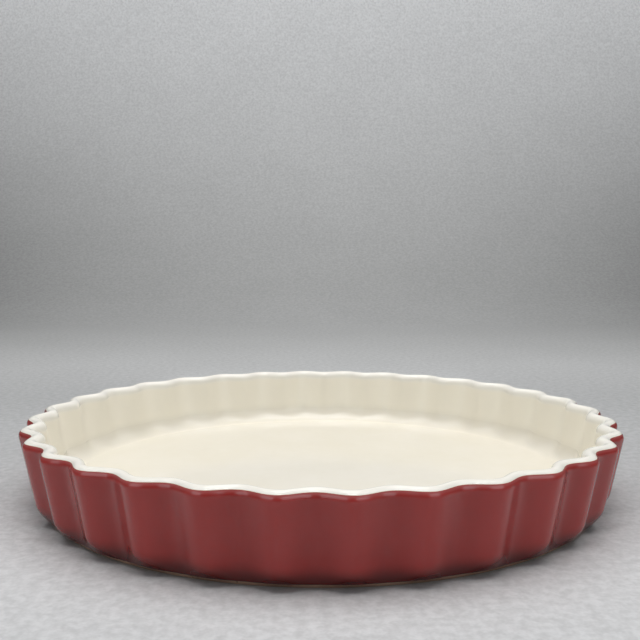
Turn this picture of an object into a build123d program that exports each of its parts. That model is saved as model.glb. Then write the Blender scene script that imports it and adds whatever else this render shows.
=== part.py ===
"""Fluted quiche dish: stoneware body with its fired glaze coats.

Frame: origin at the centre of the foot, on the surface that the dish stands on, with +Z up and
millimetres throughout. One flute crest points along +X and one along -Y.

The dish is one piece of stoneware. Its wall waves in and out in flutes that run from the rounded
rim down to the heel, where they fade into a plain round foot. Each fluted skin is a stack of
outlines, joined by ruled surfaces. An outline has a level, a mean radius and a share of the full
flute depth. The glazed skin is the one that is seen and measured, and the clay lies one glaze
thickness beneath it.
"""

from build123d import *
from math import asin, cos, pi, radians, sin, sqrt, tan
import os

# overall sizes of the glazed dish
crest_diameter = 280.0
dish_height = 37.4
wall_thickness = 6.8

# the flutes
flute_count = 32
flute_depth = 4.4
points_per_flute = 6

# the wall and its turns
wall_lean = 11.3
heel_height = 9.7
heel_radius = 20.0
cove_radius = 13.0

# the floor, the foot and the underside
floor_thickness = 6.4
bare_foot_height = 1.0
foot_ring_width = 7.0
foot_edge_chamfer = 0.8
recess_depth = 2.0

# the glaze coats, and how far up the rim's outer side the red one reaches, in degrees
glaze_thickness = 0.6
base_glaze_thickness = 0.5
glaze_line_turn = 42.0

# how finely the round turns are cut into bands
heel_bands = 2
cove_bands = 3
shoulder_bands = 2

# places that the sizes above settle
lean = radians(wall_lean)
half_depth = flute_depth / 2
rim_radius = wall_thickness / 2
rim_centre_radius = crest_diameter / 2 - half_depth - rim_radius
rim_centre_level = dish_height - rim_radius
clay_top_level = dish_height - glaze_thickness
floor_level = recess_depth + floor_thickness
quarter_turn = pi / 2

# the clay's rim edge lies half a glaze thickness beneath the rounded skin
clay_rim_reach = sqrt((rim_radius - glaze_thickness / 2) ** 2 - (rim_radius - glaze_thickness) ** 2)


def wall_radius(level, side):
    """Mean radius of the glazed wall at a level, on its outer side (1) or its inner side (-1)."""
    tangent_radius = rim_centre_radius + side * rim_radius * cos(lean)
    tangent_level = rim_centre_level - side * rim_radius * sin(lean)
    return tangent_radius - (tangent_level - level) * tan(lean)


# centre of the heel's turn, inside the clay, and of the cove's turn, inside the hollow
heel_centre_radius = wall_radius(heel_height, 1) - heel_radius * cos(lean)
heel_centre_level = heel_height + heel_radius * sin(lean)
cove_top_level = floor_level + cove_radius * (1 - sin(lean))
cove_centre_radius = wall_radius(cove_top_level, -1) - cove_radius * cos(lean)
cove_centre_level = floor_level + cove_radius


def steps(start, end, bands):
    """Evenly spaced values from start to end."""
    return [start + (end - start) * index / bands for index in range(bands + 1)]


def outline(level, radius, share):
    """A closed fluted outline as a face: crests on the spokes, valleys halfway between them."""
    count = flute_count * points_per_flute
    points = []
    for index in range(count):
        angle = 2 * pi * index / count
        reach = radius + share * half_depth * cos(flute_count * angle)
        points.append((reach * cos(angle), reach * sin(angle)))
    with BuildSketch(Plane.XY.offset(level)) as section:
        with BuildLine():
            Spline(*points, periodic=True)
        make_face()
    return section.sketch


def heel_outlines(lowest_level, depth_below_skin, bands):
    """Outlines of the heel's turn from a level up to where the straight wall starts."""
    radius = heel_radius - depth_below_skin
    lowest_turn = asin((heel_centre_level - lowest_level) / radius)
    sections = []
    for turn in steps(lowest_turn, lean, bands):
        level = heel_centre_level - radius * sin(turn)
        share = min(level / heel_height, 1)
        sections.append(outline(level, heel_centre_radius + radius * cos(turn), share))
    return sections


def shoulder_outlines(start_turn, end_turn, bands, side):
    """Outlines of the rounded rim on its outer side (1) or its inner side (-1)."""
    sections = []
    for turn in steps(start_turn, end_turn, bands):
        level = rim_centre_level + rim_radius * sin(turn)
        sections.append(outline(level, rim_centre_radius + side * rim_radius * cos(turn), 1))
    return sections


def cove_outlines(depth_below_skin):
    """Outlines of the hollow's round corner, from the floor's edge up to the wall."""
    radius = cove_radius + depth_below_skin
    wall_turn = quarter_turn - lean
    sections = []
    for turn in steps(0, wall_turn, cove_bands):
        level = cove_centre_level - radius * cos(turn)
        sections.append(outline(level, cove_centre_radius + radius * sin(turn), turn / wall_turn))
    return sections


def clay_rim_outlines(side):
    """Outlines of the clay's straight wall top and of its rim edge, on the outer (1) or inner side (-1)."""
    level = rim_centre_level - side * rim_radius * sin(lean)
    radius = wall_radius(level, side) - side * glaze_thickness
    return [
        outline(level, radius, 1),
        outline(clay_top_level, rim_centre_radius + side * clay_rim_reach, 1),
    ]


# the line between the two glazes runs round the rim's outer side, just under the clay's top edge
boundary_turn = radians(glaze_line_turn)

clay_outside = heel_outlines(0, glaze_thickness, heel_bands)
clay_outside += clay_rim_outlines(1)

clay_hollow = cove_outlines(glaze_thickness)
clay_hollow += clay_rim_outlines(-1)

red_outside = heel_outlines(bare_foot_height, 0, heel_bands)
red_outside += shoulder_outlines(0, boundary_turn, shoulder_bands, 1)

rim_outside = shoulder_outlines(boundary_turn, quarter_turn, 1, 1)

glazed_hollow = cove_outlines(0)
glazed_hollow += shoulder_outlines(lean, quarter_turn, shoulder_bands, -1)

foot_outer_radius = heel_centre_radius + sqrt(
    (heel_radius - glaze_thickness) ** 2 - heel_centre_level**2
)
recess_radius = foot_outer_radius - foot_ring_width


# stoneware body: fluted wall, floor, heel, bare foot ring and the recess inside it
with BuildPart() as stoneware_body:
    loft(clay_outside, ruled=True)
    loft(clay_hollow, ruled=True, mode=Mode.SUBTRACT)
    with BuildSketch():
        Circle(recess_radius)
    extrude(amount=recess_depth, mode=Mode.SUBTRACT)
    foot_inner_edge = (
        stoneware_body.edges()
        .filter_by(GeomType.CIRCLE)
        .filter_by_position(Axis.Z, 0, 0)
        .sort_by(SortBy.LENGTH)[0]
    )
    chamfer(foot_inner_edge, length=foot_edge_chamfer)
stoneware_body.part.label = "stoneware_body"

# cream liner glaze: over the floor, the cove, the inner wall and the rounded rim
with BuildPart() as cream_liner_glaze:
    loft(rim_outside, ruled=True)
    loft(clay_outside, ruled=True, mode=Mode.SUBTRACT)
    loft(clay_hollow, ruled=True)
    loft(glazed_hollow, ruled=True, mode=Mode.SUBTRACT)
cream_liner_glaze.part.label = "cream_liner_glaze"

# red wall glaze: from the rim's shoulder down the flutes and the heel to the bare foot
with BuildPart() as red_wall_glaze:
    loft(red_outside, ruled=True)
    loft(clay_outside, ruled=True, mode=Mode.SUBTRACT)
red_wall_glaze.part.label = "red_wall_glaze"

# red base glaze: the coat on the recess's ceiling, inside the bare foot ring
with BuildPart() as red_base_glaze:
    with BuildSketch(Plane.XY.offset(recess_depth - base_glaze_thickness)):
        Circle(recess_radius)
    extrude(amount=base_glaze_thickness)
red_base_glaze.part.label = "red_base_glaze"

os.makedirs("parts", exist_ok=True)
for piece in (stoneware_body, cream_liner_glaze, red_wall_glaze, red_base_glaze):
    export_step(piece.part, f"parts/{piece.part.label}.step")

print("foot diameter", round(2 * foot_outer_radius, 2))
print("rim centre diameter", round(2 * rim_centre_radius, 2))
print("inside depth", round(dish_height - floor_level, 2))
print("floor diameter", round(2 * cove_centre_radius, 2))
print("glaze line level", round(rim_centre_level + rim_radius * sin(boundary_turn), 2))
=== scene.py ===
"""Fluted quiche dish: the looks of a stoneware dish and of its fired glaze coats.

Every skin of the dish follows one rule. A section of straight runs and arcs goes round the axis, and
its reach swells and shrinks with the flutes. Each station of a section holds its share of the flute
depth, so that the flutes fade out in the heel and in the cove. A Geometry Nodes tree turns a section
into a closed mesh, one for each coat and one for the clay. Sizes are in millimetres until a mesh is
made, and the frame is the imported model's: the origin under the middle of the foot, and +Z up.
"""

import logging
import math
from collections.abc import Callable
from dataclasses import dataclass
from enum import Enum

import bmesh
import bpy
from mathutils import Matrix, Vector


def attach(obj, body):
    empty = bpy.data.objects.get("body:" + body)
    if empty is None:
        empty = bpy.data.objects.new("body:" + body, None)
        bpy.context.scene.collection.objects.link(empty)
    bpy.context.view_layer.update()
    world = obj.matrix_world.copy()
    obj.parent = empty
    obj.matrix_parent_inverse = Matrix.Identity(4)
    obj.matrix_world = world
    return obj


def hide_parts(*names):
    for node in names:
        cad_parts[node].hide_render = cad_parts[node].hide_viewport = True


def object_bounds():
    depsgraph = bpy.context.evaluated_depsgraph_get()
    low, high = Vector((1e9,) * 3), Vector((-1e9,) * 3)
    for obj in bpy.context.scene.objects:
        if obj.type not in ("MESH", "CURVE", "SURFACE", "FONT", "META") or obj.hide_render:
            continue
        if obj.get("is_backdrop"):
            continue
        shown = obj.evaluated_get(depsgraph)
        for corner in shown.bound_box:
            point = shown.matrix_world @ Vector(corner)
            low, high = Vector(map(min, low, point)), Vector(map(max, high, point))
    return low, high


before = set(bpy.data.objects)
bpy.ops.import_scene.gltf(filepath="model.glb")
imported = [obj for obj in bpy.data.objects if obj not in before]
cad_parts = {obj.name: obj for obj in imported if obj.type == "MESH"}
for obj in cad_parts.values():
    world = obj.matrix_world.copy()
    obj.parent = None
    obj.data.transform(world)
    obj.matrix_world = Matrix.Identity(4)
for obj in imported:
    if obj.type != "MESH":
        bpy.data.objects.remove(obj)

MM = 0.001
BODY = "root"
QUARTER_TURN = math.pi / 2
SHARE_NAME = "flute_share"
RUN_NAME = "glaze_run"
WAVE_NAME = "flute_wave"
ASIDE_NAME = "sheet_aside"

Colour = tuple[float, float, float]
Socket = bpy.types.NodeSocket

log = logging.getLogger("fluted_dish")


class Skin(Enum):
    """The four pieces of the dish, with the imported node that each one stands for."""

    CLAY = "stoneware_body"
    LINER = "cream_liner_glaze"
    WALL = "red_wall_glaze"
    BASE = "red_base_glaze"


class Side(Enum):
    """The two faces of the wall, as the sign of their distance from its middle."""

    OUTSIDE = 1
    INSIDE = -1


@dataclass(frozen=True)
class DishSizes:
    """Real sizes of the glazed dish, in millimetres and radians.

    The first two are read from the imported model, and the rest are the ones that it was built with.
    Three of them follow the photograph instead: the inner flutes' share of the flute depth at the
    top of the cove, the cove's radius, and the level at which the red coat stops.
    """

    crest_radius: float
    height: float
    wall_thickness: float = 6.8
    flutes: int = 32
    flute_depth: float = 4.4
    inner_share: float = 0.5
    lean: float = math.radians(11.3)
    heel_height: float = 9.7
    heel_radius: float = 20.0
    cove_radius: float = 9.0
    floor_thickness: float = 6.4
    bare_foot_height: float = 1.0
    foot_ring_width: float = 7.0
    foot_edge_chamfer: float = 0.8
    recess_depth: float = 2.0
    glaze: float = 0.6
    base_glaze: float = 0.5
    glaze_line: float = math.radians(42.0)
    glaze_stop: float = 1.6

    @classmethod
    def from_frame(cls) -> "DishSizes":
        """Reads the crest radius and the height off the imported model."""
        _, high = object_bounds()
        return cls(crest_radius=high.x / MM, height=high.z / MM)

    @property
    def rim_radius(self) -> float:
        """Radius of the rounded rim."""
        return self.wall_thickness / 2

    @property
    def rim_centre(self) -> tuple[float, float]:
        """Mean radius and level of the rim's centre line."""
        radius = self.crest_radius - self.flute_depth / 2 - self.rim_radius
        return radius, self.height - self.rim_radius

    @property
    def clay_top(self) -> float:
        """Level of the clay's rim."""
        return self.height - self.glaze

    @property
    def line_on_skin(self) -> tuple[float, float]:
        """Radius and level of the line on the rim's outside where the two glazes meet."""
        radius, level = self.rim_centre
        reach, rise = math.cos(self.glaze_line), math.sin(self.glaze_line)
        return radius + self.rim_radius * reach, level + self.rim_radius * rise

    @property
    def line_on_clay(self) -> tuple[float, float]:
        """Radius and level of the same line on the clay's rim edge, straight in from the skin."""
        low, low_level = self.clay_corner(Side.OUTSIDE)
        level = self.line_on_skin[1]
        part = (level - low_level) / (self.clay_top - low_level)
        return low + (self.rim_centre[0] + self.clay_reach - low) * part, level

    @property
    def clay_reach(self) -> float:
        """Half width of the clay's rim, which lies half a coat beneath the rounded skin."""
        outer, inner = self.rim_radius - self.glaze / 2, self.rim_radius - self.glaze
        return math.sqrt(outer**2 - inner**2)

    @property
    def floor_level(self) -> float:
        """Level of the glazed floor."""
        return self.recess_depth + self.floor_thickness

    @property
    def heel_centre(self) -> tuple[float, float]:
        """Radius and level of the centre of the heel's turn."""
        radius = self.wall_at(self.heel_height, Side.OUTSIDE) - self.heel_radius * math.cos(self.lean)
        return radius, self.heel_height + self.heel_radius * math.sin(self.lean)

    @property
    def cove_top(self) -> float:
        """Level at which the hollow's round corner meets the straight wall."""
        return self.floor_level + self.cove_radius * (1 - math.sin(self.lean))

    @property
    def cove_centre(self) -> tuple[float, float]:
        """Radius and level of the centre of the hollow's round corner."""
        radius = self.wall_at(self.cove_top, Side.INSIDE) - self.cove_radius * math.cos(self.lean)
        return radius, self.floor_level + self.cove_radius

    @property
    def foot_radius(self) -> float:
        """Outer radius of the bare foot ring."""
        radius, level = self.heel_centre
        return radius + math.sqrt((self.heel_radius - self.glaze) ** 2 - level**2)

    @property
    def recess_radius(self) -> float:
        """Radius of the recess inside the foot ring."""
        return self.foot_radius - self.foot_ring_width

    def wall_at(self, level: float, side: Side) -> float:
        """Mean radius of one face of the glazed wall at a level, before the flutes move it."""
        radius, centre_level = self.rim_centre
        tangent_radius = radius + side.value * self.rim_radius * math.cos(self.lean)
        tangent_level = centre_level - side.value * self.rim_radius * math.sin(self.lean)
        return tangent_radius - (tangent_level - level) * math.tan(self.lean)

    def clay_corner(self, side: Side) -> tuple[float, float]:
        """Radius and level at which the clay's straight wall turns in to its rim edge."""
        level = self.rim_centre[1] - side.value * self.rim_radius * math.sin(self.lean)
        return self.wall_at(level, side) - side.value * self.glaze, level


def eased(share: float) -> float:
    """A share from 0 to 1 with a level start and a level end."""
    clamped = min(max(share, 0.0), 1.0)
    return math.sin(clamped * QUARTER_TURN) ** 2


def linked(name: str, data: bpy.types.ID) -> bpy.types.Object:
    """Makes an object of its data and links it to the scene."""
    item = bpy.data.objects.new(name, data)
    bpy.context.scene.collection.objects.link(item)
    return item


def mark(mesh: bpy.types.Mesh, name: str, values: list[float]) -> None:
    """Stores a named number on every point of a mesh."""
    mesh.attributes.new(name, "FLOAT", "POINT").data.foreach_set("value", values)


class Section:
    """A closed section of one skin, walked station by station from where it starts.

    Each station has a radius, a level, its share of the flute depth, and the run from the start.
    """

    def __init__(self, radius: float, level: float, share: float) -> None:
        """Starts the section at a mean radius and a level, with a share of the flute depth."""
        self.stations: list[tuple[float, float, float]] = [(radius, level, share)]
        self.runs: list[float] = [0.0]

    def to(self, radius: float, level: float, share: float) -> None:
        """Adds a station at a mean radius and a level, with its share of the flute depth."""
        last = self.stations[-1]
        self.stations.append((radius, level, share))
        self.runs.append(self.runs[-1] + math.hypot(radius - last[0], level - last[1]))

    def line(self, radius: float, level: float, share: float, pieces: int = 1) -> None:
        """Adds a straight run up to a station, cut into pieces."""
        start = self.stations[-1]
        for step in range(1, pieces + 1):
            part = step / pieces
            ends = zip(start, (radius, level, share))
            self.to(*(low + (high - low) * part for low, high in ends))

    def arc(self, centre: tuple[float, float], radius: float, turns: tuple[float, float],
            pieces: int, share_of: Callable[[float, float], float] = lambda turn, level: 1.0) -> None:
        """Adds an arc that starts at the last station.

        Args:
            centre: radius and level of the arc's centre.
            radius: the arc's own radius.
            turns: start and end angle, counted from straight out and upwards.
            pieces: into how many pieces the arc is cut.
            share_of: gives a station's share of the flute depth from its turn and its level.
        """
        for step in range(1, pieces + 1):
            turn = turns[0] + (turns[1] - turns[0]) * step / pieces
            level = centre[1] + radius * math.sin(turn)
            self.to(centre[0] + radius * math.cos(turn), level, share_of(turn, level))

    def as_object(self, name: str) -> bpy.types.Object:
        """Makes a named object: a closed line of points in metres, with their shares and runs."""
        stations = self.stations + self.stations[:1]
        runs = self.runs + [self.runs[-1]]
        mesh = bpy.data.meshes.new(name)
        edges = [(index, index + 1) for index in range(len(stations) - 1)]
        mesh.from_pydata([(radius * MM, 0.0, level * MM) for radius, level, _ in stations], edges, [])
        mark(mesh, SHARE_NAME, [share for _, _, share in stations])
        mark(mesh, RUN_NAME, runs)
        return linked(name, mesh)


class Board:
    """A node tree with short ways to add nodes and to join them.

    A Mix node has sockets for each kind of data, and the numbered ones here hold its colours.
    """

    MIX_FIRST, MIX_SECOND, MIX_RESULT = 6, 7, 2

    def __init__(self, tree: bpy.types.NodeTree) -> None:
        """Keeps the tree."""
        self.tree = tree

    def add(self, kind: str, **settings: object) -> bpy.types.Node:
        """Adds a node of a kind, with some of its properties set."""
        node = self.tree.nodes.new(kind)
        for name, value in settings.items():
            setattr(node, name, value)
        return node

    def feed(self, target: Socket, value: object) -> None:
        """Joins a socket to the target, or sets the target's own value."""
        if isinstance(value, Socket):
            self.tree.links.new(value, target)
        else:
            target.default_value = value

    def join(self, node: bpy.types.Node, **values: object) -> bpy.types.Node:
        """Feeds a node's inputs, by name with underscores for spaces, and gives the node on."""
        for name, value in values.items():
            self.feed(node.inputs[name.replace("_", " ")], value)
        return node

    def math(self, operation: str, first: object, second: object = 0.0, clamp: bool = False) -> Socket:
        """Adds a Math node, whose result a clamp holds between 0 and 1."""
        node = self.add("ShaderNodeMath", operation=operation, use_clamp=clamp)
        self.feed(node.inputs[0], first)
        self.feed(node.inputs[1], second)
        return node.outputs[0]

    def times(self, first: object, *others: object) -> Socket:
        """Multiplies values one after another."""
        for other in others:
            first = self.math("MULTIPLY", first, other)
        return first

    def vector(self, *parts: Socket) -> Socket:
        """Makes a vector of its three parts."""
        node = self.add("ShaderNodeCombineXYZ")
        for index, part in enumerate(parts):
            self.feed(node.inputs[index], part)
        return node.outputs[0]

    def noise(self, vector: Socket, scale: object, detail: float, roughness: float = 0.5,
              seed: float = 0.0) -> Socket:
        """Adds a noise.

        Args:
            vector: where the noise is read.
            scale: how fine it is, in waves for each unit of the vector.
            detail: how many finer layers it has.
            roughness: how strong those layers are.
            seed: the fourth coordinate, which gives another noise.

        Returns:
            The noise's value.
        """
        node = self.add("ShaderNodeTexNoise", noise_dimensions="4D")
        self.join(node, Vector=vector, W=seed, Scale=scale, Detail=detail, Roughness=roughness)
        return node.outputs[0]

    def fit(self, value: Socket, low: object, high: object, bottom: object = 0.0,
            top: object = 1.0) -> Socket:
        """Eases a value from low to high into a result from bottom to top, held between them."""
        node = self.add("ShaderNodeMapRange", interpolation_type="SMOOTHSTEP")
        for index, item in enumerate((value, low, high, bottom, top)):
            self.feed(node.inputs[index], item)
        return node.outputs[0]

    def blend(self, share: object, first: object, second: object) -> Socket:
        """Mixes a share of a second colour into the first."""
        node = self.add("ShaderNodeMix", data_type="RGBA")
        self.feed(node.inputs["Factor"], share)
        self.feed(node.inputs[self.MIX_FIRST], first)
        self.feed(node.inputs[self.MIX_SECOND], second)
        return node.outputs[self.MIX_RESULT]

    def attribute(self, name: str) -> Socket:
        """Reads one of the piece's own attributes in a material."""
        node = self.add("ShaderNodeAttribute", attribute_type="GEOMETRY", attribute_name=name)
        return node.outputs["Fac"]

    def place(self, group: bpy.types.NodeTree, **values: object) -> Socket:
        """Places a shared group with its inputs, and gives its one output."""
        return self.join(self.add("ShaderNodeGroup", node_tree=group), **values).outputs[0]


def rgba(colour: Colour) -> tuple[float, float, float, float]:
    """A colour with full cover."""
    return (*colour, 1.0)


def open_group(name: str, kind: str, inputs: list[tuple], outputs: list[tuple]) -> tuple:
    """Starts a node group.

    Args:
        name: the group's name.
        kind: its tree's type name.
        inputs: name, socket type and default value of each input, with None for no default.
        outputs: name and socket type of each output.

    Returns:
        The group's board, its inputs by name, and its output node.
    """
    tree = bpy.data.node_groups.new(name, kind)
    for label, socket, default in inputs:
        item = tree.interface.new_socket(name=label, in_out="INPUT", socket_type=socket)
        if default is not None:
            item.default_value = default
    for label, socket in outputs:
        tree.interface.new_socket(name=label, in_out="OUTPUT", socket_type=socket)
    board = Board(tree)
    return board, board.add("NodeGroupInput").outputs, board.add("NodeGroupOutput")


def numbers(**defaults: float) -> list[tuple]:
    """Inputs of a group that are plain numbers, by name with underscores for spaces."""
    return [(name.replace("_", " "), "NodeSocketFloat", value) for name, value in defaults.items()]


class FlutedTurning:
    """The Geometry Nodes tree that turns a section round the axis and flutes it."""

    INPUTS = [
        ("Section", "NodeSocketGeometry", None),
        ("Flutes", "NodeSocketInt", 32),
        ("Steps Round", "NodeSocketInt", 768),
        *numbers(Half_Depth=0.0022, Slump=0.0, Slump_Waves=20.0, Seed=0.0),
        ("Finish", "NodeSocketMaterial", None),
    ]
    MERGE_DISTANCE = 1e-6

    def __init__(self) -> None:
        """Builds the tree once."""
        outputs = [("Skin", "NodeSocketGeometry")]
        self.board, self.given, self.result = open_group(
            "fluted_turning", "GeometryNodeTree", self.INPUTS, outputs)
        self._build()

    def _sample(self, value: Socket, station: Socket, kind: str) -> Socket:
        """Reads a value of the section, of a kind of data, at one of its stations."""
        node = self.board.add("GeometryNodeSampleIndex", data_type=kind, domain="POINT")
        self.board.join(node, Geometry=self.given["Section"], Value=value, Index=station)
        return node.outputs["Value"]

    def _named(self, name: str) -> Socket:
        """Reads a named number of the geometry at hand."""
        node = self.board.add("GeometryNodeInputNamedAttribute", data_type="FLOAT")
        node.inputs["Name"].default_value = name
        return node.outputs["Attribute"]

    def _store(self, geometry: Socket, name: str, value: Socket) -> Socket:
        """Stores a named number on every point of the mesh, and gives the mesh on."""
        node = self.board.add("GeometryNodeStoreNamedAttribute", data_type="FLOAT", domain="POINT")
        return self.board.join(node, Geometry=geometry, Name=name, Value=value).outputs["Geometry"]

    def _build(self) -> None:
        """Lays out a grid of stations by steps, bends it round the axis and closes it."""
        board, given = self.board, self.given
        size = board.add("GeometryNodeAttributeDomainSize", component="MESH")
        board.feed(size.inputs[0], given["Section"])
        rows = board.math("ADD", given["Steps Round"], 1.0)
        grid = board.add("GeometryNodeMeshGrid")
        board.join(grid, Vertices_X=size.outputs["Point Count"], Vertices_Y=rows)

        index = board.add("GeometryNodeInputIndex").outputs[0]
        station = board.math("FLOOR", board.math("DIVIDE", board.math("ADD", index, 0.5), rows))
        step = board.math("SUBTRACT", index, board.times(station, rows))
        turn = board.times(board.math("DIVIDE", step, given["Steps Round"]), math.tau)

        here = board.add("GeometryNodeInputPosition").outputs[0]
        place = board.add("ShaderNodeSeparateXYZ")
        board.feed(place.inputs[0], self._sample(here, station, "FLOAT_VECTOR"))
        share = self._sample(self._named(SHARE_NAME), station, "FLOAT")
        run = self._sample(self._named(RUN_NAME), station, "FLOAT")

        cosine, sine = board.math("COSINE", turn), board.math("SINE", turn)
        crest = board.math("COSINE", board.times(turn, given["Flutes"]))
        wave = board.times(crest, share)
        fluted = board.math("MULTIPLY_ADD", wave, given["Half Depth"])
        board.feed(fluted.node.inputs[2], place.outputs["X"])

        radius, level = place.outputs["X"], place.outputs["Z"]
        even = board.vector(board.times(radius, cosine), board.times(radius, sine), level)
        uneven = board.noise(even, given["Slump Waves"], detail=1.0, seed=given["Seed"])
        sag = board.times(uneven, given["Slump"], share)
        reach = board.math("SUBTRACT", fluted, sag)
        target = board.vector(board.times(reach, cosine), board.times(reach, sine), level)

        skin = self._store(grid.outputs["Mesh"], RUN_NAME, run)
        skin = self._store(skin, WAVE_NAME, wave)
        steps = (
            ("GeometryNodeSetPosition", {"Position": target}),
            ("GeometryNodeMergeByDistance", {"Distance": self.MERGE_DISTANCE}),
            ("GeometryNodeSetShadeSmooth", {}),
            ("GeometryNodeRealizeInstances", {}),
            ("GeometryNodeSetMaterial", {"Material": given["Finish"]}),
        )
        for kind, values in steps:
            skin = board.join(board.add(kind), Geometry=skin, **values).outputs[0]
        board.feed(self.result.inputs[0], skin)

    def turn(self, section: Section, skin: Skin, values: dict[str, object]) -> bpy.types.Object:
        """Turns a section into a plain closed mesh.

        Args:
            section: the section.
            skin: the piece that it makes.
            values: the tree's inputs, by name.

        Returns:
            The piece, at the origin, with its faces pointing outwards.
        """
        name = f"{skin.value}_skin"
        source = section.as_object(f"{name}_section")
        modifier = source.modifiers.new("fluted_turning", "NODES")
        modifier.node_group = self.board.tree
        for item in self.board.tree.interface.items_tree:
            if item.in_out == "INPUT" and item.name in values:
                modifier[item.identifier] = values[item.name]
        graph = bpy.context.evaluated_depsgraph_get()
        mesh = bpy.data.meshes.new_from_object(
            source.evaluated_get(graph), preserve_all_data_layers=True, depsgraph=graph)
        bpy.data.objects.remove(source)
        mesh.name = name
        shape = bmesh.new()
        shape.from_mesh(mesh)
        if shape.calc_volume(signed=True) < 0:
            bmesh.ops.reverse_faces(shape, faces=shape.faces)
        shape.to_mesh(mesh)
        shape.free()
        return linked(name, mesh)


class GlazeEffects:
    """Shader groups that the finishes share, each one built once.

    Clouds and ripples add a finer noise to a broad one, so many times finer and at its own share.
    """

    FINER_CLOUDS, FINE_CLOUD_SHARE = 7.0, 0.3
    FINER_RIPPLES = 6.0
    VECTOR = ("Vector", "NodeSocketVector", None)
    MASK = [("Mask", "NodeSocketFloat")]

    def __init__(self) -> None:
        """Builds the groups."""
        self.clouds = self._clouds()
        self.pinholes = self._pinholes()
        self.ripple = self._ripple()
        self.band = self._band()

    def _clouds(self) -> bpy.types.NodeTree:
        """Soft clouds of thicker and thinner glaze."""
        board, given, result = open_group(
            "glaze_clouds", "ShaderNodeTree",
            [self.VECTOR, *numbers(Scale=30.0, Contrast=1.0, Seed=0.0)], [("Cloud", "NodeSocketFloat")])
        vector, scale, seed = given["Vector"], given["Scale"], given["Seed"]
        fine_scale = board.times(scale, self.FINER_CLOUDS)
        broad = board.noise(vector, scale, detail=2.0, seed=seed)
        fine = board.noise(vector, fine_scale, detail=3.0, roughness=0.6, seed=seed)
        both = board.math("ADD", board.times(broad, 1 - self.FINE_CLOUD_SHARE),
                          board.times(fine, self.FINE_CLOUD_SHARE))
        centred = board.times(board.math("SUBTRACT", both, 0.5), given["Contrast"], 2.0)
        board.feed(result.inputs[0], board.math("ADD", centred, 0.5, True))
        return board.tree

    def _pinholes(self) -> bpy.types.NodeTree:
        """Rare small pits and specks, one in some of the cells of a Voronoi pattern."""
        board, given, result = open_group(
            "glaze_pinholes", "ShaderNodeTree",
            [self.VECTOR, *numbers(Scale=100.0, Size=0.05, Amount=0.1)], self.MASK)
        cells = board.add("ShaderNodeTexVoronoi", feature="F1")
        board.join(cells, Vector=given["Vector"], Scale=given["Scale"])
        half = board.times(given["Size"], 0.5)
        spot = board.fit(cells.outputs["Distance"], half, given["Size"], 1.0, 0.0)
        draw = board.add("ShaderNodeSeparateXYZ")
        board.feed(draw.inputs[0], cells.outputs["Color"])
        chosen = board.math("LESS_THAN", draw.outputs["X"], given["Amount"])
        board.feed(result.inputs[0], board.times(spot, chosen))
        return board.tree

    def _ripple(self) -> bpy.types.NodeTree:
        """The faint unevenness of a melted surface, as a height from 0 to 1."""
        board, given, result = open_group(
            "glaze_ripple", "ShaderNodeTree",
            [self.VECTOR, *numbers(Scale=200.0, Fine_Share=0.2)], [("Height", "NodeSocketFloat")])
        vector, scale = given["Vector"], given["Scale"]
        broad = board.noise(vector, scale, detail=1.0)
        fine = board.noise(vector, board.times(scale, self.FINER_RIPPLES), detail=2.0)
        height = board.math("ADD", broad, board.times(fine, given["Fine Share"]))
        board.feed(result.inputs[0], height)
        return board.tree

    def _band(self) -> bpy.types.NodeTree:
        """A band along the run of a skin, full up to its start and gone at its end, with a loose edge."""
        board, given, result = open_group(
            "glaze_band", "ShaderNodeTree",
            [self.VECTOR, *numbers(Run=0.0, Start=0.0, End=1.0, Wander=0.2, Wander_Scale=120.0)],
            self.MASK)
        noise = board.noise(given["Vector"], given["Wander Scale"], detail=2.0)
        shift = board.times(board.math("SUBTRACT", noise, 0.5), given["Wander"])
        moved = board.math("ADD", given["Run"], shift)
        board.feed(result.inputs[0], board.fit(
            moved, given["Start"], given["End"], 1.0, 0.0))
        return board.tree


class Finish:
    """A material in the making, with the parts that every finish of the dish starts from."""

    def __init__(self, name: str, effects: GlazeEffects) -> None:
        """Starts a named material, with the shared groups at hand."""
        self.effects = effects
        self.material = bpy.data.materials.new(name)
        self.material.use_nodes = True
        self.board = Board(self.material.node_tree)
        self.shader = self.material.node_tree.nodes["Principled BSDF"]
        self.place = self.board.add("ShaderNodeTexCoord").outputs["Object"]

    def set(self, **values: object) -> None:
        """Feeds the shader's inputs, by name with underscores for spaces."""
        self.board.join(self.shader, **values)

    def bump(self, height: Socket, distance: float) -> None:
        """Gives the surface a relief, with a height of 1 at the distance in millimetres."""
        node = self.board.add("ShaderNodeBump")
        self.board.join(node, Strength=1.0, Distance=distance * MM, Height=height)
        self.set(Normal=node.outputs["Normal"])


@dataclass(frozen=True)
class Look:
    """What a finish shares: a material is started, dressed and handed over."""

    def make(self, name: str, effects: GlazeEffects) -> bpy.types.Material:
        """Builds the named material with the shared groups."""
        finish = Finish(name, effects)
        self.dress(finish, finish.board, finish.place)
        return finish.material

    def dress(self, finish: Finish, board: Board, place: Socket) -> None:
        """Adds the finish's own nodes to its board, with patterns read at the place on the piece."""
        raise NotImplementedError


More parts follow.
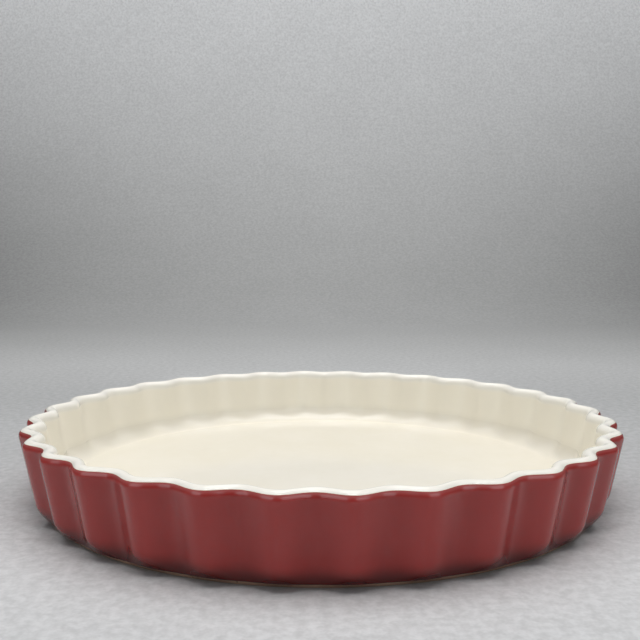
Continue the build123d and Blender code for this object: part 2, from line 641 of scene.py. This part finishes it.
@dataclass(frozen=True)
class CreamGlaze(Look):
    """The glossy cream glaze of the inside and of the rim, duller on the steep wall between them."""

    thick: Colour = (0.84, 0.79, 0.67)
    thin: Colour = (0.875, 0.83, 0.73)
    # painted light: the steep inner wall is painted lighter than the floor
    wall: Colour = (0.955, 0.905, 0.78)
    wall_run: float = 23.0
    wall_fade: float = 7.0
    wall_roughness: float = 0.50
    # painted light: the rim is painted whiter, standing in for the light on its top
    rim: Colour = (0.93, 0.90, 0.82)
    rim_run: float = 7.0
    rim_fade: float = 3.0
    speck: Colour = (0.35, 0.24, 0.15)
    roughness: tuple[float, float] = (0.08, 0.12)
    specular: float = 0.28
    ripple_depth: float = 0.0025

    def dress(self, finish: Finish, board: Board, place: Socket) -> None:
        """Adds clouds, painted light that makes the steep wall and the rim lighter, specks and a faint
        ripple.
        """
        effects = finish.effects
        cloud = board.place(effects.clouds, Vector=place, Scale=28.0, Contrast=1.3, Seed=1.5)
        colour = board.blend(cloud, rgba(self.thick), rgba(self.thin))
        run = board.attribute(RUN_NAME)
        wall = board.place(effects.band, Vector=place, Run=run, Start=self.wall_run,
                           End=self.wall_run + self.wall_fade, Wander=4.0, Wander_Scale=25.0)
        rim = board.place(effects.band, Vector=place, Run=run, Start=self.rim_run,
                          End=self.rim_run + self.rim_fade, Wander=0.8, Wander_Scale=40.0)
        # painted light: the wall and rim bands make the coat lighter there
        colour = board.blend(wall, colour, rgba(self.wall))
        colour = board.blend(rim, colour, rgba(self.rim))
        specks = board.place(effects.pinholes, Vector=place, Scale=90.0, Size=0.035, Amount=0.025)
        colour = board.blend(specks, colour, rgba(self.speck))
        ripple = board.place(effects.ripple, Vector=place, Scale=170.0, Fine_Share=0.15)
        finish.set(Base_Color=colour, Specular_IOR_Level=self.specular)
        gloss = board.fit(cloud, 0.0, 1.0, *self.roughness)
        dull = board.math("SUBTRACT", wall, rim, True)
        finish.set(Roughness=board.fit(dull, 0.0, 1.0, gloss, self.wall_roughness))
        finish.bump(ripple, self.ripple_depth)


@dataclass(frozen=True)
class RedGlaze(Look):
    """The glossy red glaze of the outside, thin and pale at its upper edge, and darker at its lower end
    from glaze pooling and painted shade.
    """

    thick: Colour = (0.355, 0.023, 0.019)
    thin: Colour = (0.45, 0.036, 0.031)
    # glaze pooling and painted shade: the heel is darker towards the foot
    pooled_shaded: Colour = (0.12, 0.007, 0.005)
    edge: Colour = (0.40, 0.085, 0.080)
    speck: Colour = (0.55, 0.30, 0.24)
    crest_share: float = 0.5
    edge_start: float = 0.1
    edge_width: float = 2.0
    pool_run: float = 26.5
    pool_shade_width: float = 8.0
    roughness: tuple[float, float] = (0.20, 0.26)
    specular: float = 0.48
    coat: float = 0.22
    coat_roughness: float = 0.04
    ripple_depth: float = 0.014

    @classmethod
    def under_floor(cls) -> "RedGlaze":
        """The coat under the floor, which is pale all over and has no darker lower band."""
        return cls(edge_width=0.0, pool_run=1000.0)

    def dress(self, finish: Finish, board: Board, place: Socket) -> None:
        """Adds clouds, lighter crests, the darker lower end of pooling and painted shade, the pale edge,
        specks and a ripple.
        """
        effects = finish.effects
        run = board.attribute(RUN_NAME)
        cloud = board.place(effects.clouds, Vector=place, Scale=24.0, Contrast=1.2, Seed=4.0)
        # the colour is lighter on the crests and darker in the valleys, following the flute wave
        crests = board.fit(board.attribute(WAVE_NAME), -1.0, 1.0, 0.0, self.crest_share)
        paleness = board.math("ADD", board.times(cloud, 1 - self.crest_share), crests, True)
        colour = board.blend(paleness, rgba(self.thick), rgba(self.thin))
        # painted shade with glaze pooling: this band darkens the heel towards the foot
        pool = board.place(effects.band, Vector=place, Run=run, Start=self.pool_run,
                           End=self.pool_run + self.pool_shade_width, Wander=2.0, Wander_Scale=60.0)
        colour = board.blend(board.math("SUBTRACT", 1.0, pool), colour, rgba(self.pooled_shaded))
        edge = board.place(effects.band, Vector=place, Run=run, Start=self.edge_start,
                           End=self.edge_width, Wander=0.5, Wander_Scale=150.0)
        colour = board.blend(edge, colour, rgba(self.edge))
        specks = board.place(effects.pinholes, Vector=place, Scale=80.0, Size=0.03, Amount=0.03)
        colour = board.blend(specks, colour, rgba(self.speck))
        ripple = board.place(effects.ripple, Vector=place, Scale=150.0, Fine_Share=0.15)
        finish.set(Base_Color=colour, Specular_IOR_Level=self.specular,
                   Coat_Weight=self.coat, Coat_Roughness=self.coat_roughness)
        finish.set(Roughness=board.fit(cloud, 0.0, 1.0, *self.roughness))
        finish.bump(ripple, self.ripple_depth)


@dataclass(frozen=True)
class BareClay(Look):
    """The matte tan stoneware of the foot ring."""

    light: Colour = (0.62, 0.41, 0.29)
    dark: Colour = (0.45, 0.28, 0.19)
    grog: Colour = (0.16, 0.10, 0.07)
    roughness: tuple[float, float] = (0.75, 0.92)
    grain_depth: float = 0.04

    def dress(self, finish: Finish, board: Board, place: Socket) -> None:
        """Adds clouds, dark grains and a rough grain to the surface."""
        effects = finish.effects
        cloud = board.place(effects.clouds, Vector=place, Scale=60.0, Contrast=1.4, Seed=9.0)
        colour = board.blend(cloud, rgba(self.dark), rgba(self.light))
        grains = board.place(effects.pinholes, Vector=place, Scale=700.0, Size=0.3, Amount=0.12)
        colour = board.blend(grains, colour, rgba(self.grog))
        ripple = board.place(effects.ripple, Vector=place, Scale=1500.0, Fine_Share=0.6)
        finish.set(Base_Color=colour)
        finish.set(Roughness=board.fit(cloud, 0.0, 1.0, *self.roughness))
        finish.bump(ripple, self.grain_depth)


@dataclass(frozen=True)
class Cuts:
    """Into how many pieces the runs and turns of a section are cut, finely where they show."""

    rim: int = 28
    shoulder: int = 16
    outer_wall: int = 9
    inner_wall: int = 8
    cove: int = 18
    heel: int = 14
    bead: int = 6
    floor: int = 18
    base: int = 14
    foot: int = 6
    clay_heel: int = 12
    hidden_turn: int = 8
    hidden_wall: int = 3
    hidden_flat: int = 2


@dataclass
class Dish:
    """The whole dish: the clay and its three glaze coats."""

    sizes: DishSizes
    turning: FlutedTurning
    effects: GlazeEffects
    cuts: Cuts = Cuts()
    steps_per_flute: int = 24
    slump: float = 0.25
    slump_waves: float = 22.0
    seed: float = 3.0
    sharp_angle: float = math.radians(40)
    bead: float = 0.7
    meniscus: float = 0.5

    def _heel_share(self, turn: float, level: float) -> float:
        """Share of the flute depth in the heel, which fades towards the foot."""
        bare = self.sizes.bare_foot_height
        risen = (level - bare) / (self.sizes.heel_height - bare)
        return math.sin(min(max(risen, 0.0), 1.0) * QUARTER_TURN)

    def _cove_share(self, turn: float, level: float) -> float:
        """Share of the flute depth in the cove, which fades towards the floor."""
        return self.sizes.inner_share * eased((turn + QUARTER_TURN) / (QUARTER_TURN - self.sizes.lean))

    def _heel(self, section: Section, depth: float, level: float, pieces: int, rising: bool) -> None:
        """Adds the heel's turn at a depth beneath the glazed skin, with its lower end at a level."""
        sizes = self.sizes
        radius = sizes.heel_radius - depth
        low = -math.asin((sizes.heel_centre[1] - level) / radius)
        turns = (low, -sizes.lean) if rising else (-sizes.lean, low)
        section.arc(sizes.heel_centre, radius, turns, pieces, self._heel_share)

    def _cove(self, section: Section, depth: float, pieces: int, rising: bool) -> None:
        """Adds the cove's turn at a depth beneath the glazed skin, down to the floor or up from it."""
        sizes = self.sizes
        turns = (-QUARTER_TURN, -sizes.lean)
        section.arc(sizes.cove_centre, sizes.cove_radius + depth, turns if rising else turns[::-1],
                    pieces, self._cove_share)

    def liner_section(self) -> Section:
        """Section of the cream coat: over the rim, down the wall, across the floor and back."""
        sizes, cuts = self.sizes, self.cuts
        radius, _ = sizes.rim_centre
        clay_floor = sizes.floor_level - sizes.glaze
        inner_turn = math.pi - sizes.lean
        section = Section(*sizes.line_on_skin, 1.0)
        section.arc(sizes.rim_centre, sizes.rim_radius, (sizes.glaze_line, inner_turn), cuts.rim)
        section.line(sizes.wall_at(sizes.cove_top, Side.INSIDE), sizes.cove_top, sizes.inner_share,
                     cuts.inner_wall)
        self._cove(section, 0.0, cuts.cove, rising=False)
        section.line(0.0, sizes.floor_level, 0.0, cuts.floor)
        section.line(0.0, clay_floor, 0.0)
        section.line(sizes.cove_centre[0], clay_floor, 0.0, cuts.hidden_flat)
        self._cove(section, sizes.glaze, cuts.hidden_turn, rising=True)
        section.line(*sizes.clay_corner(Side.INSIDE), 1.0, cuts.hidden_wall)
        section.line(radius - sizes.clay_reach, sizes.clay_top, 1.0)
        section.line(radius + sizes.clay_reach, sizes.clay_top, 1.0)
        section.line(*sizes.line_on_clay, 1.0)
        return section

    def wall_section(self) -> Section:
        """Section of the red coat: down the shoulder, the flutes and the heel to a rounded edge."""
        sizes, cuts = self.sizes, self.cuts
        section = Section(*sizes.line_on_skin, 1.0)
        section.arc(sizes.rim_centre, sizes.rim_radius, (sizes.glaze_line, -sizes.lean), cuts.shoulder)
        section.line(sizes.wall_at(sizes.heel_height, Side.OUTSIDE), sizes.heel_height, 1.0,
                     cuts.outer_wall)
        self._heel(section, 0.0, sizes.glaze_stop + self.bead, cuts.heel, rising=False)
        self._bead(section)
        self._heel(section, sizes.glaze, sizes.glaze_stop, cuts.hidden_turn, rising=True)
        section.line(*sizes.clay_corner(Side.OUTSIDE), 1.0, cuts.hidden_wall)
        section.line(*sizes.line_on_clay, 1.0)
        return section

    def _bead(self, section: Section) -> None:
        """Rounds the red coat's lower edge in to the clay, from the end of the glazed skin."""
        sizes = self.sizes
        centre, centre_level = sizes.heel_centre
        top = sizes.glaze_stop + self.bead
        for step in range(1, self.cuts.bead + 1):
            angle = QUARTER_TURN * step / self.cuts.bead
            level = top - self.bead * math.sin(angle)
            reach = sizes.heel_radius - sizes.glaze * (1 - math.cos(angle))
            radius = centre + math.sqrt(reach**2 - (centre_level - level) ** 2)
            section.to(radius, level, self._heel_share(0.0, level))

    def clay_section(self) -> Section:
        """Section of the clay: up the outside, over the rim, down the hollow, out under the floor."""
        sizes, cuts = self.sizes, self.cuts
        radius, _ = sizes.rim_centre
        edge, chamfer = sizes.recess_radius, sizes.foot_edge_chamfer
        section = Section(0.0, sizes.recess_depth, 0.0)
        section.line(edge, sizes.recess_depth, 0.0, cuts.hidden_wall)
        section.line(edge, chamfer, 0.0, cuts.hidden_flat)
        section.line(edge + chamfer, 0.0, 0.0, cuts.hidden_wall)
        section.line(sizes.foot_radius, 0.0, 0.0, cuts.foot)
        self._heel(section, sizes.glaze, 0.0, cuts.clay_heel, rising=True)
        section.line(*sizes.clay_corner(Side.OUTSIDE), 1.0, cuts.hidden_wall)
        section.line(radius + sizes.clay_reach, sizes.clay_top, 1.0)
        section.line(radius - sizes.clay_reach, sizes.clay_top, 1.0)
        section.line(*sizes.clay_corner(Side.INSIDE), 1.0)
        hollow, hollow_level = sizes.cove_centre
        reach = sizes.cove_radius + sizes.glaze
        section.line(hollow + reach * math.cos(sizes.lean), hollow_level - reach * math.sin(sizes.lean),
                     sizes.inner_share, cuts.hidden_wall)
        self._cove(section, sizes.glaze, cuts.hidden_turn, rising=False)
        section.line(0.0, sizes.floor_level - sizes.glaze, 0.0, cuts.hidden_flat)
        return section

    def base_section(self) -> Section:
        """Section of the coat under the floor, which creeps down the recess's wall at its edge."""
        sizes, creep = self.sizes, self.meniscus
        level, edge = sizes.recess_depth - sizes.base_glaze, sizes.recess_radius
        section = Section(0.0, sizes.recess_depth, 0.0)
        section.line(edge, sizes.recess_depth, 0.0, self.cuts.hidden_flat)
        section.line(edge, level - creep, 0.0)
        section.to(edge - creep / 4, level - creep / 2, 0.0)
        section.to(edge - creep, level - creep / 8, 0.0)
        section.to(edge - creep * 2, level, 0.0)
        section.line(0.0, level, 0.0, self.cuts.base)
        return section

    def build(self) -> None:
        """Makes the four pieces and seats them on the frame."""
        sizes = self.sizes
        finishes = {
            Skin.CLAY: (self.clay_section, BareClay(), "bare_stoneware"),
            Skin.LINER: (self.liner_section, CreamGlaze(), "cream_glaze"),
            Skin.WALL: (self.wall_section, RedGlaze(), "red_glaze"),
            Skin.BASE: (self.base_section, RedGlaze.under_floor(), "red_glaze"),
        }
        for skin, (make_section, finish, slot) in finishes.items():
            values = {
                "Flutes": sizes.flutes,
                "Half Depth": sizes.flute_depth / 2 * MM,
                "Steps Round": sizes.flutes * self.steps_per_flute,
                "Slump": self.slump * MM,
                "Slump Waves": self.slump_waves,
                "Seed": self.seed,
                "Finish": finish.make(f"{skin.value}_finish", self.effects),
            }
            piece = self.turning.turn(make_section(), skin, values)
            piece.data.set_sharp_from_angle(angle=self.sharp_angle)
            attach(piece, BODY)
            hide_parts(skin.value)
            log.info("%s: %d faces", piece.name, len(piece.data.polygons))


@dataclass(frozen=True)
class Viewpoint:
    """The photograph's camera, in the dish's own frame, in millimetres and radians."""

    turn: float = math.radians(-4.77)
    distance: float = 430.37
    aside: float = -0.60
    above_rim: float = 84.12
    pitch: float = 0.0907
    roll: float = 0.00197
    focal_pixels: float = 896.22
    frame_pixels: float = 640.0
    sensor: float = 36.0

    def direction(self, azimuth: float, elevation: float) -> Vector:
        """Unit vector from the dish, at degrees to the camera's right and above the horizon."""
        across, up = math.radians(azimuth), math.radians(elevation)
        flat = Vector((math.sin(across), -math.cos(across), 0.0)) * math.cos(up)
        return Matrix.Rotation(self.turn, 3, "Z") @ (flat + Vector((0.0, 0.0, math.sin(up))))

    def build(self, height: float) -> None:
        """Makes the scene's camera, for a dish of the given height in millimetres."""
        data = bpy.data.cameras.new("photo_camera")
        data.sensor_width = self.sensor
        data.lens = self.focal_pixels * self.sensor / self.frame_pixels
        data.clip_start, data.clip_end = 0.01, 100.0
        camera = linked("photo_camera", data)
        place = Vector((self.aside, -self.distance, height + self.above_rim)) * MM
        swing = Matrix.Rotation(self.turn, 4, "Z")
        tilt = Matrix.Rotation(QUARTER_TURN - self.pitch, 4, "X") @ Matrix.Rotation(self.roll, 4, "Z")
        camera.matrix_world = swing @ Matrix.Translation(place) @ tilt
        bpy.context.scene.camera = camera


@dataclass(frozen=True)
class Softbox:
    """A soft rectangular lamp that faces the dish, with lengths in metres and angles in degrees.

    A lamp that is mirrored only gives gleams in the glazes and lights nothing else.
    """

    name: str
    azimuth: float
    elevation: float
    distance: float
    width: float
    height: float
    radiance: float
    mirrored_only: bool = False
    colour: Colour = (1.0, 1.0, 1.0)

    def build(self, viewpoint: Viewpoint) -> None:
        """Makes the lamp, which the camera sees only in reflections."""
        data = bpy.data.lights.new(self.name, "AREA")
        data.shape = "RECTANGLE"
        data.size, data.size_y = self.width, self.height
        data.energy = self.radiance * math.pi * self.width * self.height
        data.color = self.colour
        lamp = linked(self.name, data)
        direction = viewpoint.direction(self.azimuth, self.elevation)
        lamp.location = direction * self.distance
        lamp.rotation_euler = direction.to_track_quat("Z", "Y").to_euler()
        lamp.visible_camera = False
        lamp.visible_diffuse = not self.mirrored_only


@dataclass(frozen=True)
class GreyPaper:
    """The sweep's matte paper, with lengths in metres along the sheet and to its sides.

    Its tone follows the light in the photograph: it darkens towards its fold and to the sides,
    brightens up its wall, and lies in a soft shade on both sides of the dish.
    """

    near: Colour = (0.575, 0.58, 0.585)
    fold: Colour = (0.445, 0.447, 0.443)
    far: Colour = (0.98, 0.99, 1.0)
    dimming: tuple[float, float] = (-0.15, 0.75)
    wall_start: float = 1.0
    wall_climb: float = 1.3
    wall_curve: float = 1.6
    side_fall: float = 1.1
    shade: float = 0.22
    shade_aside: tuple[float, float] = (0.11, 0.155)
    shade_start: tuple[float, float] = (-0.12, 0.0)
    shade_end: tuple[float, float] = (0.22, 0.45)
    fleck: float = 0.12
    fleck_scale: float = 230.0
    fleck_range: tuple[float, float] = (0.25, 0.75)
    cloud: float = 0.015
    cloud_scale: float = 9.0
    cloud_range: tuple[float, float] = (0.3, 0.7)
    roughness: float = 0.9

    def _shade(self, board: Board, run: Socket, off_middle: Socket) -> Socket:
        """How light the paper stays beside the dish, from the place along the sheet and off its middle."""
        along = board.times(board.fit(run, *self.shade_start), board.fit(run, *self.shade_end, 1.0, 0.0))
        beside = board.times(board.fit(off_middle, *self.shade_aside), along)
        return board.math("SUBTRACT", 1.0, board.times(beside, self.shade))

    def make(self) -> bpy.types.Material:
        """Builds the material, with a faint fleck and faint clouds."""
        material = bpy.data.materials.new("grey_paper")
        material.use_nodes = True
        board = Board(material.node_tree)
        shader = material.node_tree.nodes["Principled BSDF"]
        place = board.add("ShaderNodeTexCoord").outputs["Object"]
        run = board.attribute(RUN_NAME)
        dim = board.fit(run, *self.dimming)
        colour = board.blend(dim, rgba(self.near), rgba(self.fold))
        climb = board.math("SUBTRACT", run, self.wall_start, clamp=True)
        climb = board.math("MULTIPLY", climb, self.wall_climb, clamp=True)
        climb = board.math("POWER", climb, self.wall_curve)
        colour = board.blend(climb, colour, rgba(self.far))
        off_middle = board.math("ABSOLUTE", board.attribute(ASIDE_NAME))
        shade = self._shade(board, run, off_middle)
        level = board.math("POWER", board.math("SUBTRACT", 1.0, climb), 2.0)
        fall = board.times(board.math("POWER", off_middle, 2.0), self.side_fall)
        fall = board.times(fall, board.times(dim, level))
        tone = board.times(board.math("SUBTRACT", 1.0, fall, clamp=True), shade)
        fleck = board.noise(place, self.fleck_scale, detail=2.0, roughness=0.7)
        fleck = board.fit(fleck, *self.fleck_range, 1 - self.fleck, 1 + self.fleck)
        cloud = board.noise(place, self.cloud_scale, detail=2.0)
        cloud = board.fit(cloud, *self.cloud_range, 1 - self.cloud, 1 + self.cloud)
        node = board.add("ShaderNodeVectorMath", operation="SCALE")
        board.feed(node.inputs[0], colour)
        board.join(node, Scale=board.times(fleck, cloud, tone))
        board.join(shader, Base_Color=node.outputs[0], Roughness=self.roughness)
        return material


@dataclass(frozen=True)
class Studio:
    """A grey sweep of paper, soft lamps and a soft surround, with sizes in metres."""

    half_width: float = 4.0
    near: float = -4.0
    flat_end: float = 0.80
    sweep_radius: float = 0.60
    top: float = 2.6
    arc_pieces: int = 24
    paper: GreyPaper = GreyPaper()
    surround: Colour = (0.93, 0.96, 1.0)
    surround_strength: float = 0.10

    LAMPS = (
        Softbox("left_window", azimuth=-43, elevation=34, distance=1.30, width=1.00, height=0.70,
                radiance=0.26),
        Softbox("right_window", azimuth=37, elevation=34, distance=1.30, width=1.05, height=0.70,
                radiance=0.38),
        Softbox("left_gleam", azimuth=-43, elevation=22, distance=1.29, width=0.95, height=0.68,
                radiance=1.5, mirrored_only=True, colour=(0.74, 0.93, 1.0)),
        Softbox("right_gleam", azimuth=37, elevation=22, distance=1.29, width=1.00, height=0.68,
                radiance=1.5, mirrored_only=True, colour=(0.74, 0.93, 1.0)),
        Softbox("overhead", azimuth=180, elevation=86, distance=1.50, width=2.50, height=1.10,
                radiance=2.50),
        Softbox("cove_panel", azimuth=180, elevation=72, distance=1.46, width=0.55, height=1.30,
                radiance=3.5, mirrored_only=True),
        Softbox("front_bar", azimuth=0, elevation=75, distance=1.48, width=0.60, height=0.20,
                radiance=14.0),
    )

    def build(self, viewpoint: Viewpoint) -> None:
        """Makes the sweep, the lamps and the surround, all set by the viewpoint's directions."""
        self._sweep(viewpoint)
        for lamp in self.LAMPS:
            lamp.build(viewpoint)
        self._surround()

    def _line(self) -> list[tuple[float, float]]:
        """The sweep's line, as distances behind the dish and heights."""
        line = [(self.near, 0.0), (self.flat_end, 0.0)]
        for step in range(1, self.arc_pieces + 1):
            turn = QUARTER_TURN * step / self.arc_pieces
            rise = self.sweep_radius * (1 - math.cos(turn))
            line.append((self.flat_end + self.sweep_radius * math.sin(turn), rise))
        line.append((self.flat_end + self.sweep_radius, self.top))
        return line

    def _sweep(self, viewpoint: Viewpoint) -> None:
        """Makes the floor and the backdrop as one smooth sheet, which holds the run along itself."""
        line = self._line()
        runs = [self.near]
        for (back, rise), (next_back, next_rise) in zip(line, line[1:]):
            runs.append(runs[-1] + math.hypot(next_back - back, next_rise - rise))
        turn = Matrix.Rotation(viewpoint.turn, 4, "Z")
        places = [turn @ Vector((side * self.half_width, back, rise))
                  for back, rise in line for side in (-1, 1)]
        faces = [(2 * row, 2 * row + 1, 2 * row + 3, 2 * row + 2) for row in range(len(line) - 1)]
        mesh = bpy.data.meshes.new("paper_sweep")
        mesh.from_pydata(places, [], faces)
        mesh.polygons.foreach_set("use_smooth", [True] * len(faces))
        mark(mesh, RUN_NAME, [run for run in runs for _ in (-1, 1)])
        mark(mesh, ASIDE_NAME, [side * self.half_width for _ in runs for side in (-1, 1)])
        sheet = linked("paper_sweep", mesh)
        mesh.materials.append(self.paper.make())
        sheet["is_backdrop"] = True

    def _surround(self) -> None:
        """Makes the world a soft even light."""
        world = bpy.data.worlds.new("soft_surround")
        world.use_nodes = True
        bpy.context.scene.world = world
        background = world.node_tree.nodes["Background"]
        background.inputs["Color"].default_value = rgba(self.surround)
        background.inputs["Strength"].default_value = self.surround_strength


def main() -> None:
    """Builds the dish, its studio and the camera."""
    logging.basicConfig(level=logging.INFO, format="%(name)s: %(message)s")
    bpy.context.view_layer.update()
    scene = bpy.context.scene
    scene.view_settings.view_transform = "Standard"
    sizes = DishSizes.from_frame()
    Dish(sizes, FlutedTurning(), GlazeEffects()).build()
    viewpoint = Viewpoint()
    viewpoint.build(sizes.height)
    Studio().build(viewpoint)


if __name__ == "__main__":
    main()
